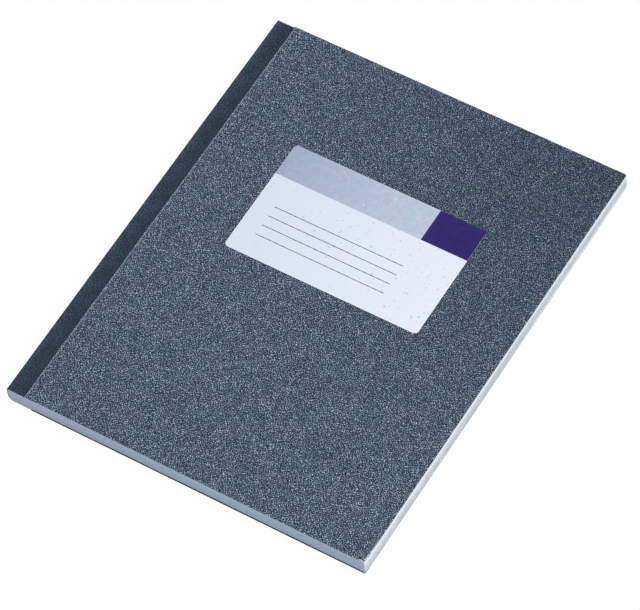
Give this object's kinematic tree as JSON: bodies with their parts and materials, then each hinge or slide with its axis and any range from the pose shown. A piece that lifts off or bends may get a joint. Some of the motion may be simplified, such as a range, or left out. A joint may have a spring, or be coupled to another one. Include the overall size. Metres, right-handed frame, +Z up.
{
  "type": "composition notebook",
  "caption": "Closed quarto notebook with a cloth spine, grained dark blue paper covers that open on cloth hinges, and a ruled name label.",
  "frame": {"origin": "under the middle of the closed notebook, on the surface that it lies on", "axes": "+X from the spine to the fore edge, +Y from tail to head, +Z up through the front cover"},
  "size_m": [0.165, 0.205, 0.0085],
  "materials": {
    "page_paper": "matte",
    "lining": "matte",
    "thread": "matte",
    "spine_cloth": "matte",
    "board": "matte",
    "side_paper": "satin",
    "endleaf": "matte",
    "label_paper": "matte",
    "band_ink": "matte",
    "field_ink": "matte",
    "line_ink": "matte"
  },
  "bodies": {
    "block": {"page_block": "page_paper", "spine_lining": "lining", "sewing_thread": "thread", "spine_cloth": "spine_cloth"},
    "front_cover": {"front_board": "board", "front_side_paper": "side_paper", "front_pastedown": "endleaf", "label": "label_paper", "label_band": "band_ink", "label_field": "field_ink", "label_lines": "line_ink"},
    "back_cover": {"back_board": "board", "back_side_paper": "side_paper", "back_pastedown": "endleaf"}
  },
  "joints": [
    {"name": "front_cover_hinge", "type": "hinge", "parent": "block", "child": "front_cover", "pos_m": [-0.08229, 0, 0.00789], "axis": [0, -1, 0], "range_deg": [0, 180], "deforming": ["spine_cloth"]},
    {"name": "back_cover_hinge", "type": "hinge", "parent": "block", "child": "back_cover", "pos_m": [-0.08174, 0, 0.00106], "axis": [0, 1, 0], "range_deg": [0, 180], "deforming": ["spine_cloth"]}
  ]
}
